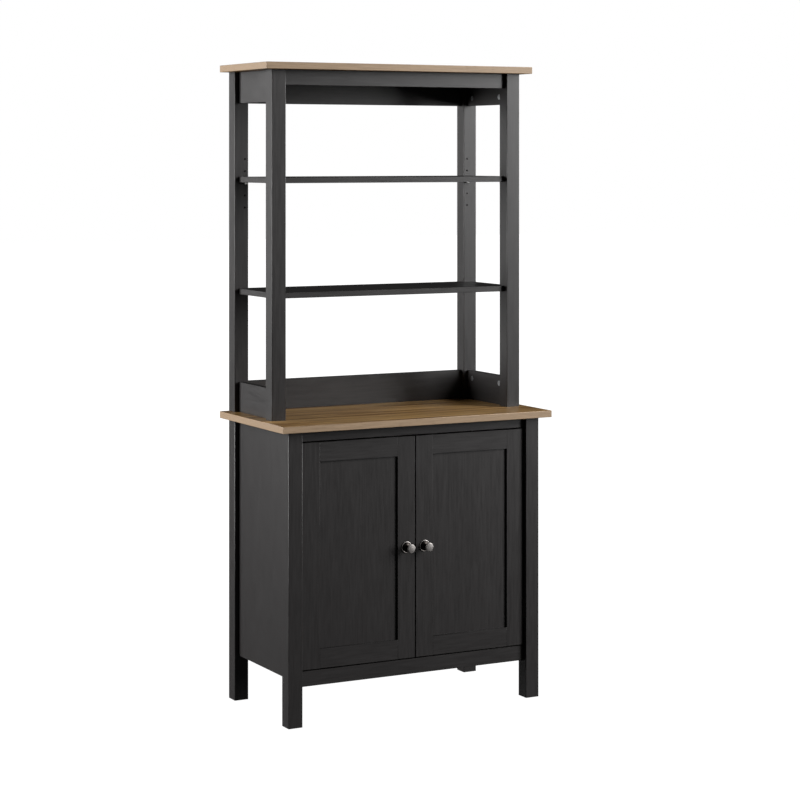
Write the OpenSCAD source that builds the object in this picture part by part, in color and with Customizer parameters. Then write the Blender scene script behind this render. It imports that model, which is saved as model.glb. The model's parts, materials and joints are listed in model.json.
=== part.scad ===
// Bookcase with doors: an open hutch on a two door base cabinet.
// X runs to the right, -Y is the front, Z is up. The origin is on the floor,
// under the middle of the worktop.

/* [Overall] */
// Width across the outer faces of the legs
body_w = 732; // [620:1:1000]
// Depth of the base, from front leg face to rear leg face
base_d = 372; // [330:1:450]
// Depth of the hutch, from front post face to rear post face
hutch_d = 273; // [230:1:310]
// Height of the worktop's underside above the floor
base_h = 744; // [640:1:860]
// Height of the hutch posts
post_h = 895; // [760:1:1100]

/* [Boards] */
// Side of the square legs and posts
leg_s = 39; // [36:0.5:46]
// Thickness of panels, rails, aprons and shelves
board_t = 15; // [15:0.5:18]
// Thickness of the worktop and of the hutch top
top_t = 18; // [15:0.5:25]
// Thickness of the back panel
back_t = 3; // [2.5:0.1:5]
// How far panels, rails and aprons lie behind the leg faces
setback = 12; // [9:0.5:14]
// Overhang of both tops past the legs at each side
side_over = 26; // [10:1:40]
// Overhang of both tops past the legs at the front
front_over = 24; // [10:1:40]
// Easing of the long edges of legs, posts and tops
ease = 0.8; // [0.4:0.1:1.5]

/* [Base cabinet] */
// Height of the side panels' lower edge above the floor
panel_z = 120; // [90:1:135]
// Height of the bottom rail's lower edge above the floor
rail_z = 100.5; // [70:0.5:115]
// Height of the bottom front rail
rail_h = 39; // [36:0.5:60]
// Height of the top front rail
top_rail_h = 27; // [24:0.5:50]
// Height of the rear top rail
rear_rail_h = 60; // [50:1:90]
// Distance of the inner shelf's underside above the bottom panel
inner_shelf_up = 270; // [200:1:340]
// Distance of the inner shelf's front edge behind the bottom rail
inner_shelf_back = 40; // [30:1:80]
// Play of the inner shelf at each end
inner_play = 0.8; // [0.5:0.1:2]
// Thickness of the foot glides
glide_t = 2; // [1.5:0.5:5]
// Diameter of the foot glides
glide_d = 20; // [14:1:30]

/* [Doors] */
// Thickness of the door frames
door_t = 18; // [18:0.5:22]
// How far the doors lie behind the leg faces
door_setback = 10; // [8:0.5:12]
// Gap round each door
door_gap = 3; // [2:0.1:4]
// Width of the door stiles and rails
frame_w = 50; // [48:0.5:70]
// Depth of the door panel below the face of its frame
panel_recess = 5.5; // [4:0.1:7]
// Thickness of the door panel
door_panel_t = 6; // [4:0.1:6.5]
// Depth of the groove that holds the door panel
groove_d = 7; // [5:0.1:7.2]
// Clearance of tongues and tenons in that groove
groove_play = 0.15; // [0.1:0.05:0.3]

/* [Knobs] */
// Height of the knobs above the door's middle
knob_up = 0; // [-150:1:150]
// Diameter of the knob's foot plate
knob_foot_d = 31; // [24:0.5:36]
// Diameter of the knob's head
knob_head_d = 26; // [20:0.5:34]
// Diameter of the knob's neck
knob_neck_d = 10; // [9:0.5:14]
// Projection of the knob from the door
knob_l = 29.5; // [27:0.5:40]
// Diameter of the knob screw
knob_screw_d = 4; // [3:0.5:5]

/* [Hinges] */
// Height of the butt hinges
hinge_h = 50; // [40:1:70]
// Depth of the hinge leaves on the leg and the door's edge
leaf_w = 15; // [12:0.5:16]
// Thickness of the hinge leaves
leaf_t = 1.2; // [0.8:0.1:1.3]
// Diameter of the hinge knuckles
knuckle_d = 5; // [4.5:0.1:5]
// Diameter of the hinge pin
hinge_pin_d = 2.5; // [2:0.1:2.6]
// Running clearance round the hinge pin
hinge_play = 0.05; // [0.02:0.01:0.1]
// Distance of each hinge's middle from the door's end
hinge_end = 95; // [60:1:140]
// Diameter of the hinge screws
hinge_screw_d = 3; // [2.5:0.1:3]
// Length of the hinge screws
hinge_screw_l = 16; // [12:1:20]

/* [Hutch] */
// Height of the lower side and rear rails above the worktop
low_rail_h = 79; // [60:1:110]
// Height of the front apron under the hutch top
front_apron_h = 39; // [36:0.5:60]
// Height of the side and rear aprons under the hutch top
apron_h = 82; // [60:1:110]
// Height of the fixed shelf's underside above the worktop
fixed_shelf_up = 310; // [240:1:340]
// Height of the middle pin hole above the worktop
pin_row_up = 602; // [480:1:610]
// Distance of the hutch shelves' front edge behind the posts' faces
shelf_setback = 13; // [10:0.5:20]
// Depth of the hutch shelves
shelf_d = 240; // [200:1:245]
// Play of the shelves' notches round the posts
notch_play = 0.5; // [0.3:0.1:1]

/* [Shelf pins] */
// Spacing of the pin holes
pin_pitch = 32; // [25:1:40]
// Number of pin holes in each hutch post
pin_holes = 5; // [3:2:7]
// Distance of the pin holes from the posts' inner faces
pin_edge = 10; // [8:0.5:14]
// Diameter of the shelf pins
pin_d = 5; // [4:0.5:6]
// Depth of the pin holes
pin_hole_l = 11; // [9:0.5:12]
// Length of a pin that stands out under the shelf
pin_out = 8; // [6:0.5:12]

/* [Fittings] */
// Diameter of the cam locks
cam_d = 15; // [14:0.5:15]
// Depth of the cam bores
cam_depth = 12.5; // [11:0.1:12.5]
// Distance of the cams from the board's end
cam_in = 24; // [22:0.5:34]
// Distance of the hutch rails' cams from the board's free edge
cam_edge = 21; // [18:0.5:30]
// Length of the cam bolts inside the leg or top
bolt_in = 11; // [9:0.5:12]
// Diameter of the wooden dowels
dowel_d = 8; // [6:0.5:8]
// Length of the wooden dowels
dowel_l = 30; // [26:1:32]
// Length of a dowel inside the leg, post or top that it enters
dowel_in = 12; // [10:0.5:13]
// Clearance of dowels and bolts in their bores
bore_play = 0.1; // [0.05:0.05:0.2]

/* [Hidden] */
$fn = 48;
e = 0.5;                                  // overrun of a cut past a face

half_w = body_w / 2;
inner_x = half_w - leg_s;                 // inner faces of legs and posts
skin_x = half_w - setback;                // outer faces of side panels and rails
mid_x = skin_x - board_t / 2;             // middle of side panels and rails
liner_x = skin_x - board_t;               // inner faces of side panels and rails
top_w = body_w + 2 * side_over;
worktop_d = base_d + front_over;
rear_y = worktop_d / 2;                   // rear faces of legs, posts and tops
front_y = rear_y - base_d;                // front leg faces
post_y = rear_y - hutch_d;                // front post faces
base_in_f = front_y + leg_s;              // rear faces of the front legs
in_r = rear_y - leg_s;                    // front faces of rear legs and posts
post_in_f = post_y + leg_s;               // rear faces of the front posts
deck_z = base_h + top_t;                  // worktop surface
crown_z = deck_z + post_h;                // hutch top's underside
back_y = rear_y - setback;                // rear face of rear rails and aprons

// Base cabinet
rail_y = front_y + setback;               // faces of the front rails
floor_z = rail_z + rail_h;                // top of the bottom rail and panel
panel_h = base_h - panel_z;
groove_in = 6;                            // back panel groove in the rear legs
back_play = 0.2;
inner_z = floor_z + inner_shelf_up;       // inner shelf's underside

// Doors, in u inward from the leg and v back from the door face
door_y = front_y + door_setback;
door_w = inner_x - 1.5 * door_gap;
door_z = floor_z + door_gap;
door_h = base_h - top_rail_h - door_gap - door_z;
panel_w = door_w - 2 * frame_w;
panel_hole_h = door_h - 2 * frame_w;
tongue = groove_d - 2 * groove_play;
knob_z = door_z + door_h / 2 + knob_up;
knob_u = door_gap + door_w - frame_w / 2;
hinge_z = [door_z + hinge_end, door_z + door_h - hinge_end];
knuckle_gap = 0.4;                        // round the knuckles, to leg and door face
axis_u = door_gap / 2;                    // turning axis, in the middle of the gap
axis_v = -knuckle_gap - knuckle_d / 2;    // turning axis, in front of the door
knuckle_h = hinge_h / 3;
knuckle_cut = 0.15;                       // half the slit between two knuckles
pin_head_t = 1;

// Fittings
cam_t = 12;
cam_play = 0.15;
bolt_neck_d = 4;
bolt_shank_d = 6.6;
bolt_head_d = 6.8;
bolt_bore_d = 8;
thread_d = 5;
dowel_out = dowel_l - dowel_in;           // dowel length in the board

black = "#262525";
oak = "#a3825c";
zinc = "#b9bbbd";
nickel = "#4c4a4b";
bronze = "#2e2a27";
beech = "#d8b98a";

// Places a right hand copy by mirroring the left hand one
module hand(s) { if (s < 0) children(); else mirror([1, 0, 0]) children(); }

// Rectangle a by b with its four corners eased
function eased(a, b) = [[ease, 0], [a - ease, 0], [a, ease], [a, b - ease],
    [a - ease, b], [ease, b], [0, b - ease], [0, ease]];

// Square bar along Z with eased long edges, its low corner at the origin
module eased_bar(s, h) { linear_extrude(h) polygon(eased(s, s)); }

// Board lying flat with eased top and bottom edges, centred on X, from y0 back
module eased_board(w, y0, d, t) {
    translate([-w / 2, y0, 0]) intersection() {
        translate([-e, 0, 0]) rotate([90, 0, 90])
            linear_extrude(w + 2 * e) polygon(eased(d, t));
        translate([0, d + e, 0]) rotate([90, 0, 0])
            linear_extrude(d + 2 * e) polygon(eased(w, t));
    }
}

/* Joinery. A joint is [x, y, z, yaw, pitch, roll] of a board's end: local +X
   runs into the leg, and the cam opens towards local +Y. */
module at(j) {
    translate([j[0], j[1], j[2]]) rotate([0, 0, j[3]]) rotate([0, j[4], 0])
        rotate([j[5], 0, 0]) children();
}
module cam_bores(js) {
    for (j = js) at(j) {
        translate([-cam_in, board_t / 2 + e, 0]) rotate([90, 0, 0])
            cylinder(d = cam_d, h = cam_depth + e);
        translate([-cam_in, 0, 0]) rotate([0, 90, 0])
            cylinder(d = bolt_bore_d, h = cam_in + e);
    }
}
module thread_bores(js) {
    for (j = js) at(j) translate([-e, 0, 0]) rotate([0, 90, 0])
        cylinder(d = thread_d, h = bolt_in + 1 + e);
}
module dowel_bores(js) {
    for (j = js) at(j) translate([-e, 0, 0]) rotate([0, 90, 0])
        cylinder(d = dowel_d + 2 * bore_play, h = dowel_in + 0.5 + e);
}
module dowel_sockets(js) {
    for (j = js) at(j) translate([e, 0, 0]) rotate([0, -90, 0])
        cylinder(d = dowel_d + 2 * bore_play, h = dowel_out + 0.5 + e);
}
module cam() {
    slot_l = 9;
    slot_w = 1.6;
    slot_deep = 1.5;
    translate([-cam_in, board_t / 2 - 0.2, 0]) difference() {
        rotate([90, 0, 0]) cylinder(d = cam_d - 2 * cam_play, h = cam_t);
        translate([-bolt_head_d / 2, 0.2 - board_t / 2, 0]) rotate([0, 90, 0])
            cylinder(d = bolt_head_d + 0.6, h = cam_d);
        for (a = [0, 90]) rotate([0, a, 0])
            translate([-slot_l / 2, -slot_deep, -slot_w / 2])
                cube([slot_l, slot_deep + e, slot_w]);
    }
}
module bolt() {
    head = 3;
    neck = cam_d / 2;
    start = -cam_in - head / 2;
    rotate([0, 90, 0]) rotate_extrude() polygon([
        [0, start], [bolt_head_d / 2, start], [bolt_head_d / 2, start + head],
        [bolt_neck_d / 2, start + head + 1], [bolt_neck_d / 2, -cam_in + neck],
        [bolt_shank_d / 2, -cam_in + neck + 1], [bolt_shank_d / 2, -1],
        [thread_d / 2 - bore_play, -0.1], [thread_d / 2 - bore_play, bolt_in],
        [0, bolt_in]]);
}

// Both ends of a board that runs along Y at x, cam side inwards
function y_ends(x, y0, y1, z) = [
    [x, y0, z, -90, 0, x < 0 ? 0 : 180], [x, y1, z, 90, 0, x < 0 ? 180 : 0]];
// Both ends of a board that runs along X at y, cams to the rear
function x_ends(y, z) = [[-inner_x, y, z, 180, 0, 180], [inner_x, y, z, 0, 0, 0]];
function flat_ends(w, y, z) = [[-w, y, z, 180, 0, -90], [w, y, z, 0, 0, -90]];
function up_ends(s, ys, z) = [for (y = ys) [s * mid_x, y, z, -s * 90 - 180, -90, 0]];

panel_cam_z = [panel_z + 64, base_h - 64];
panel_dowel_z = [panel_z + 32, base_h - 32];
function panel_cams(s) = [for (z = panel_cam_z) each y_ends(s * mid_x, base_in_f, in_r, z)];
function panel_dowels(s) =
    [for (z = panel_dowel_z) each y_ends(s * mid_x, base_in_f, in_r, z)];
rail_mid_y = rail_y + board_t / 2;
back_mid_y = back_y - board_t / 2;
bottom_rail_cams = x_ends(rail_mid_y, rail_z + rail_h / 2 + 8);
bottom_rail_dowels = x_ends(rail_mid_y, rail_z + rail_h / 2 - 11);
top_rail_cams = x_ends(rail_mid_y, base_h - top_rail_h / 2);
rear_rail_cams = x_ends(back_mid_y, base_h - rear_rail_h / 2 + 12);
rear_rail_dowels = x_ends(back_mid_y, base_h - rear_rail_h / 2 - 14);
floor_span = in_r - base_in_f;
floor_cams = [for (f = [0.2, 0.8])
    each flat_ends(liner_x, base_in_f + f * floor_span, floor_z - board_t / 2)];
floor_dowels = flat_ends(liner_x, base_in_f + 0.5 * floor_span, floor_z - board_t / 2);
worktop_cams = [for (s = [-1, 1])
    each up_ends(s, [base_in_f + 0.3 * floor_span, base_in_f + 0.7 * floor_span], base_h)];

hutch_span = in_r - post_in_f;
low_cam_z = deck_z + low_rail_h - cam_edge;
low_dowel_z = deck_z + dowel_out + dowel_d;
apron_cam_z = crown_z - apron_h + cam_edge;
apron_dowel_z = crown_z - cam_edge;
front_apron_z = crown_z - front_apron_h / 2;
post_mid_y = post_y + setback + board_t / 2;
function low_cams(s) = y_ends(s * mid_x, post_in_f, in_r, low_cam_z);
function low_dowels(s) = y_ends(s * mid_x, post_in_f, in_r, low_dowel_z);
function apron_cams(s) = y_ends(s * mid_x, post_in_f, in_r, apron_cam_z);
function apron_dowels(s) = y_ends(s * mid_x, post_in_f, in_r, apron_dowel_z);
low_rear_cams = x_ends(back_mid_y, low_cam_z);
low_rear_dowels = x_ends(back_mid_y, low_dowel_z);
rear_apron_cams = x_ends(back_mid_y, apron_cam_z);
rear_apron_dowels = x_ends(back_mid_y, apron_dowel_z);
front_apron_cams = x_ends(post_mid_y, front_apron_z + 6);
front_apron_dowels = x_ends(post_mid_y, front_apron_z - 12);
function crown_cams(y) = [for (s = [-1, 1]) [s * inner_x / 2, y, crown_z, 0, -90, 0]];

// Hutch shelves
shelf_y = post_y + shelf_setback;
shelf_end_y = shelf_y + shelf_d;
fixed_z = deck_z + fixed_shelf_up;
pin_z = deck_z + pin_row_up;
upper_z = pin_z + pin_d / 2;
pin_x = inner_x + pin_edge;
fixed_cam_y = [(shelf_y + post_in_f) / 2, (in_r + shelf_end_y) / 2];
fixed_cams = [for (y = fixed_cam_y) each flat_ends(inner_x, y, fixed_z + board_t / 2)];

// Upright dowels in the ends of legs and posts
leg_mid = half_w - leg_s / 2;
leg_tops = [for (s = [-1, 1], y = [front_y + leg_s / 2, rear_y - leg_s / 2])
    [s * leg_mid, y, base_h, 0, -90, 0]];
post_feet = [for (s = [-1, 1], y = [post_y + leg_s / 2, rear_y - leg_s / 2])
    [s * (leg_mid - 10), y, deck_z, 0, 90, 0]];
post_tops = [for (s = [-1, 1], y = [post_y + leg_s / 2, rear_y - leg_s / 2])
    [s * leg_mid, y, crown_z, 0, -90, 0]];

all_cams = concat(panel_cams(-1), panel_cams(1), bottom_rail_cams, top_rail_cams,
    rear_rail_cams, floor_cams, worktop_cams, low_cams(-1), low_cams(1),
    apron_cams(-1), apron_cams(1), low_rear_cams, rear_apron_cams,
    front_apron_cams, crown_cams(post_mid_y), crown_cams(back_mid_y), fixed_cams);
all_dowels = concat(panel_dowels(-1), panel_dowels(1), bottom_rail_dowels,
    rear_rail_dowels, floor_dowels, low_dowels(-1), low_dowels(1),
    apron_dowels(-1), apron_dowels(1), low_rear_dowels, rear_apron_dowels,
    front_apron_dowels, leg_tops, post_feet, post_tops);
// Legs
module leg_bar(s, y) {
    translate([s < 0 ? -half_w : inner_x, y, glide_t]) eased_bar(leg_s, base_h - glide_t);
}
module leg(s, y) {
    color(black) difference() {
        leg_bar(s, y);
        thread_bores(concat(panel_cams(s), bottom_rail_cams, top_rail_cams, rear_rail_cams));
        dowel_bores(concat(panel_dowels(s), bottom_rail_dowels, rear_rail_dowels));
        dowel_sockets(leg_tops);
        hinge_pilots(s, 0, -1);
        hinge_scoops(s);
    }
}
module rear_leg(s) {
    color(black) difference() {
        leg(s, in_r);
        translate([-inner_x - groove_in, back_y - back_play, panel_z])
            cube([2 * (inner_x + groove_in), back_t + 2 * back_play, base_h]);
    }
}
module foot_glides() {
    color("#1b1b1b") for (s = [-1, 1], y = [front_y, in_r])
        translate([s * leg_mid, y + leg_s / 2, 0]) rotate_extrude()
            polygon([[0, 0], [glide_d / 2 - 0.8, 0], [glide_d / 2, 0.8],
                [glide_d / 2, glide_t], [0, glide_t]]);
}

// Base cabinet
module side_panel(s) {
    color(black) difference() {
        translate([s < 0 ? -skin_x : liner_x, base_in_f, panel_z])
            cube([board_t, floor_span, panel_h]);
        cam_bores(concat(panel_cams(s), worktop_cams));
        dowel_sockets(panel_dowels(s));
        thread_bores(floor_cams);
        dowel_bores(floor_dowels);
        inner_pin_bores();
    }
}
module notched(w, w_in, y0, y1, in_f, in_b, z, play) {
    difference() {
        translate([-w, y0, z]) cube([2 * w, y1 - y0, board_t]);
        for (s = [-1, 1]) {
            x = s < 0 ? -w - e : w_in - play;
            d = w - w_in + play + e;
            translate([x, y0 - e, z - e]) cube([d, in_f + play - y0 + e, board_t + 2 * e]);
            translate([x, in_b - play, z - e]) cube([d, y1 - in_b + play + e, board_t + 2 * e]);
        }
    }
}
module bottom_panel() {
    color(black) difference() {
        notched(liner_x, inner_x, rail_y + board_t, back_y, base_in_f, in_r,
            floor_z - board_t, 0);
        cam_bores(floor_cams);
        dowel_sockets(floor_dowels);
    }
}
module back_panel() {
    color("#2b2a2a") translate([-inner_x - groove_in + 0.3, back_y, panel_z + 0.5])
        cube([2 * (inner_x + groove_in - 0.3), back_t, base_h - panel_z - 0.5]);
}
module front_top_rail() {
    color(black) difference() {
        translate([-inner_x, rail_y, base_h - top_rail_h])
            cube([2 * inner_x, board_t, top_rail_h]);
        cam_bores(top_rail_cams);
    }
}
module front_bottom_rail() {
    color(black) difference() {
        translate([-inner_x, rail_y, rail_z]) cube([2 * inner_x, board_t, rail_h]);
        cam_bores(bottom_rail_cams);
        dowel_sockets(bottom_rail_dowels);
    }
}
module rear_rail() {
    color(black) difference() {
        translate([-inner_x, back_y - board_t, base_h - rear_rail_h])
            cube([2 * inner_x, board_t, rear_rail_h]);
        cam_bores(rear_rail_cams);
        dowel_sockets(rear_rail_dowels);
    }
}

// Inner shelf on four pins in the side panels
inner_front = rail_y + board_t + inner_shelf_back;
inner_rear = in_r - 2;
pin_in = 45;                              // from the shelf's edges to its pins
inner_pin_y = [inner_front + pin_in, inner_rear - pin_in];
inner_rows = [-2, -1, 0, 1, 2];
module inner_pin_bores() {
    for (s = [-1, 1], y = inner_pin_y, k = inner_rows)
        translate([s * (liner_x - e), y, inner_z - pin_d / 2 + k * pin_pitch])
            rotate([0, s * 90, 0]) cylinder(d = pin_d, h = pin_hole_l + e);
}
module inner_shelf() {
    w = liner_x - inner_play;
    color(black) translate([-w, inner_front, inner_z])
        cube([2 * w, inner_rear - inner_front, board_t]);
}
module inner_shelf_pins() {
    color(zinc) for (s = [-1, 1], y = inner_pin_y)
        translate([s * (liner_x + pin_hole_l - 1), y, inner_z - pin_d / 2])
            rotate([0, -s * 90, 0]) {
                cylinder(d = pin_d - 2 * bore_play, h = pin_hole_l - 1);
                translate([0, 0, pin_hole_l - 1]) cylinder(d = pin_d, h = pin_out);
            }
}
module worktop() {
    color(oak) difference() {
        translate([0, 0, base_h]) eased_board(top_w, -worktop_d / 2, worktop_d, top_t);
        thread_bores(worktop_cams);
        dowel_bores(leg_tops);
        dowel_bores(post_feet);
    }
}

// Butt hinges, drawn for the left door in u, v from the leg's face and door face
module hinge_frame(s, z) { hand(s) translate([-inner_x, door_y, z]) children(); }
module hinge_at(s) { for (z = hinge_z) hinge_frame(s, z) children(); }
screw_v = leaf_w / 2 + 1;                 // screw line behind the door face
screw_up = hinge_h / 2 - 9;
leaf_v = 0.2;                             // leaf's front edge behind the door face
// Leaf from u0 to u0 + leaf_t, its knuckles at the heights in ks
module leaf(u0, tab_u, ks) {
    difference() {
        union() {
            translate([u0, leaf_v, -hinge_h / 2])
                cube([leaf_t, leaf_w - leaf_v, hinge_h]);
            for (k = ks) translate([0, 0, k * knuckle_h]) {
                h = knuckle_h - 2 * knuckle_cut;
                translate([axis_u, axis_v, -h / 2]) cylinder(d = knuckle_d, h = h);
                translate([tab_u, axis_v, -h / 2]) cube([leaf_t, -axis_v + 1, h]);
            }
        }
        translate([axis_u, axis_v, -hinge_h / 2 - e])
            cylinder(d = hinge_pin_d + 2 * hinge_play, h = hinge_h + 2 * e);
        for (k = [-1, 1]) translate([u0, screw_v, k * screw_up]) children();
    }
}
// Countersunk hole through a leaf that lies at u 0 and is driven from the +u side
module countersunk_hole() {
    rotate([0, 90, 0]) {
        translate([0, 0, -e]) cylinder(d = hinge_screw_d + 0.2, h = leaf_t + 2 * e);
        cylinder(d1 = hinge_screw_d + 0.2, d2 = hinge_screw_d + 0.2 + 2 * leaf_t, h = leaf_t);
    }
}
module hinge_screw() {
    rotate([0, 90, 0]) difference() {
        union() {
            translate([0, 0, leaf_t - hinge_screw_l])
                cylinder(d = hinge_screw_d, h = hinge_screw_l - leaf_t);
            cylinder(d1 = hinge_screw_d, d2 = hinge_screw_d + 2 * leaf_t - 0.2, h = leaf_t);
        }
        for (a = [0, 90]) rotate([0, 0, a])
            translate([-1.6, -0.35, leaf_t - 0.6]) cube([3.2, 0.7, 1]);
    }
}
// Pilot holes from the face at u, into the leg (dir -1) or the door (dir 1)
module hinge_pilots(s, u, dir) {
    hinge_at(s) for (k = [-1, 1]) translate([u, screw_v, k * screw_up])
        rotate([0, dir * 90, 0]) translate([0, 0, -e])
            cylinder(d = hinge_screw_d + 0.1, h = hinge_screw_l + e);
}
// Hollows in the leg's inner face for the knuckles
module hinge_scoops(s) {
    hinge_at(s) translate([axis_u, axis_v, -hinge_h / 2 - 1])
        cylinder(d = knuckle_d + 2 * knuckle_gap, h = hinge_h + pin_head_t + 2);
}
module hinge_leg_leaves() {
    color(bronze) for (s = [-1, 1]) hinge_at(s)
        leaf(0, 0, [-1, 1]) countersunk_hole();
}
module hinge_leg_screws() {
    color(bronze) for (s = [-1, 1]) hinge_at(s)
        for (k = [-1, 1]) translate([0, screw_v, k * screw_up]) hinge_screw();
}
module hinge_leaves(s) {
    color(bronze) hinge_at(s) leaf(door_gap - leaf_t, door_gap - leaf_t, [0])
        translate([leaf_t, 0, 0]) mirror([1, 0, 0]) countersunk_hole();
}
module hinge_screws(s) {
    color(bronze) hinge_at(s) for (k = [-1, 1])
        translate([door_gap, screw_v, k * screw_up]) mirror([1, 0, 0]) hinge_screw();
}
module hinge_pins() {
    color(bronze) for (s = [-1, 1]) hinge_at(s)
        translate([axis_u, axis_v, -hinge_h / 2]) {
            cylinder(d = hinge_pin_d, h = hinge_h);
            translate([0, 0, hinge_h]) cylinder(d = knuckle_d - 0.6, h = pin_head_t);
        }
}

// Doors: two grooved stiles, two tenoned rails and a loose panel
groove_t = door_panel_t + 2 * groove_play;
groove_v = panel_recess - groove_play;
module door_piece(s) { hand(s) translate([-inner_x, door_y, 0]) children(); }
module stile_bar(u) { translate([u, 0, door_z]) cube([frame_w, door_t, door_h]); }
module hinge_stile(s) {
    color(black) difference() {
        door_piece(s) difference() {
            stile_bar(door_gap);
            translate([door_gap + frame_w - groove_d, groove_v, door_z - e])
                cube([groove_d + e, groove_t, door_h + 2 * e]);
        }
        hinge_pilots(s, door_gap, 1);
    }
}
module lock_stile(s) {
    u = door_gap + door_w - frame_w;
    color(black) door_piece(s) difference() {
        stile_bar(u);
        translate([u - e, groove_v, door_z - e])
            cube([groove_d + e, groove_t, door_h + 2 * e]);
        translate([knob_u, -e, knob_z]) rotate([-90, 0, 0])
            cylinder(d = knob_screw_d + 0.5, h = door_t + 2 * e);
    }
}
module door_rail(s, z, up) {
    u = door_gap + frame_w;
    gz = up ? z - e : z + frame_w - groove_d;
    color(black) door_piece(s) difference() {
        union() {
            translate([u, 0, z]) cube([panel_w, door_t, frame_w]);
            translate([u - tongue, panel_recess, z])
                cube([panel_w + 2 * tongue, door_panel_t, frame_w]);
        }
        translate([u - groove_d, groove_v, gz])
            cube([panel_w + 2 * groove_d, groove_t, groove_d + e]);
    }
}
module door_panel(s) {
    color(black) door_piece(s)
        translate([door_gap + frame_w - tongue, panel_recess, door_z + frame_w - tongue])
            cube([panel_w + 2 * tongue, door_panel_t, panel_hole_h + 2 * tongue]);
}

// Knob, turned round its axis: foot plate, waist, bead and domed head
function arc(cx, cy, r, a0, a1, n) =
    [for (i = [0:n]) let (a = a0 + (a1 - a0) * i / n) [cx + r * cos(a), cy + r * sin(a)]];
knob_foot_t = 2.6;
knob_rim = 1.1;
function knob_profile(bore) = let (
    fr = knob_foot_d / 2, nr = knob_neck_d / 2, hr = knob_head_d / 2,
    head_z = knob_l - 8.5, cove = 3.4, lip = 1.7, dome = knob_l - 1.2)
    concat(
        [[bore, 0], [fr, 0]],
        arc(fr - knob_rim, knob_foot_t - knob_rim, knob_rim, 0, 90, 5),
        [[fr - 3.2, knob_foot_t - 0.5], [fr - 4, knob_foot_t + 1]],
        arc(nr + cove, knob_foot_t + 1.4 + cove, cove, 250, 180, 6),
        [[nr, head_z - 4.2]],
        arc(nr + 4.2, head_z - 4.2, 4.2, 180, 100, 6),
        [[hr - lip, head_z + 0.6]],
        arc(hr - lip, head_z + 2.3, lip, -70, 90, 8),
        [[hr - 3, head_z + 3.4], [hr - 3.6, head_z + 4.4]],
        arc(0, dome - 26.8, 28, 70, 90, 8));
screw_reach = 9;
module knob(s) {
    color(nickel) door_piece(s) translate([knob_u, 0, knob_z]) rotate([90, 0, 0])
        difference() {
            rotate_extrude($fn = 72) polygon(knob_profile(0));
            translate([0, 0, -e]) cylinder(d = knob_screw_d, h = screw_reach + 1 + e);
        }
}
module knob_screw(s) {
    head_d = 8;
    head_t = 2.4;
    color(zinc) door_piece(s) translate([knob_u, door_t, knob_z]) rotate([90, 0, 0])
        difference() {
            union() {
                translate([0, 0, -head_t]) cylinder(d = head_d, h = head_t);
                cylinder(d = knob_screw_d - 2 * bore_play, h = door_t + screw_reach);
            }
            for (a = [0, 90]) rotate([0, 0, a])
                translate([-2.4, -0.5, -head_t - e]) cube([4.8, 1, 1.2 + e]);
        }
}

// Magnetic catches behind the top rail, and the steel plates that they hold
catch_w = 46;
catch_t = 14;
catch_up = 12;                            // part that lies on the rail
catch_down = 15;                          // part that hangs behind the door
strike_t = 1.5;
strike_gap = 0.3;
catch_in = 60;                            // from the door's free edge to the catch
catch_u = door_gap + door_w - catch_in;
catch_z = base_h - top_rail_h;
rail_back_v = rail_y + board_t - door_y;
mouth_v = door_t + strike_t + strike_gap;
mouth_t = rail_back_v + catch_t - mouth_v;
magnet = [22, 8, 9];
module catch_magnet(play) {
    translate([catch_u - magnet[0] / 2 - play, mouth_v, catch_z - 12 - play])
        cube([magnet[0] + 2 * play, magnet[1] + play, magnet[2] + 2 * play]);
}
module catch_housings() {
    color("#3a3632") for (s = [-1, 1]) door_piece(s) difference() {
        union() {
            translate([catch_u - catch_w / 2, rail_back_v, catch_z])
                cube([catch_w, catch_t, catch_up]);
            translate([catch_u - catch_w / 2 + 8, mouth_v, catch_z - catch_down])
                cube([catch_w - 16, mouth_t, catch_down + e]);
        }
        translate([0, -e, 0]) catch_magnet(0.1);
        catch_magnet(0.1);
    }
}
module catch_magnets() {
    color("#55565a") for (s = [-1, 1]) door_piece(s) catch_magnet(0);
}
module strike_plate(s) {
    color(zinc) door_piece(s)
        translate([catch_u - 15, door_t, door_z + door_h - 14]) cube([30, strike_t, 12]);
}

// Hutch
module post(s, y, face, dir) {
    color(black) difference() {
        translate([s < 0 ? -half_w : inner_x, y, deck_z]) eased_bar(leg_s, post_h);
        thread_bores(concat(low_cams(s), apron_cams(s), low_rear_cams, rear_apron_cams,
            front_apron_cams, fixed_cams));
        dowel_bores(concat(low_dowels(s), apron_dowels(s), low_rear_dowels,
            rear_apron_dowels, front_apron_dowels));
        dowel_sockets(concat(post_feet, post_tops));
        for (k = [-(pin_holes - 1) / 2:(pin_holes - 1) / 2])
            translate([s * pin_x, face - dir * e, pin_z + k * pin_pitch])
                rotate([-dir * 90, 0, 0]) cylinder(d = pin_d, h = pin_hole_l + e);
    }
}
module low_rail(s) {
    color(black) difference() {
        translate([s < 0 ? -skin_x : liner_x, post_in_f, deck_z])
            cube([board_t, hutch_span, low_rail_h]);
        cam_bores(low_cams(s));
        dowel_sockets(low_dowels(s));
    }
}
module low_rail_rear() {
    color(black) difference() {
        translate([-inner_x, back_y - board_t, deck_z]) cube([2 * inner_x, board_t, low_rail_h]);
        cam_bores(low_rear_cams);
        dowel_sockets(low_rear_dowels);
    }
}
module apron_side(s) {
    color(black) difference() {
        translate([s < 0 ? -skin_x : liner_x, post_in_f, crown_z - apron_h])
            cube([board_t, hutch_span, apron_h]);
        cam_bores(apron_cams(s));
        dowel_sockets(apron_dowels(s));
    }
}
module apron_rear() {
    color(black) difference() {
        translate([-inner_x, back_y - board_t, crown_z - apron_h])
            cube([2 * inner_x, board_t, apron_h]);
        cam_bores(concat(rear_apron_cams, crown_cams(back_mid_y)));
        dowel_sockets(rear_apron_dowels);
    }
}
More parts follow.
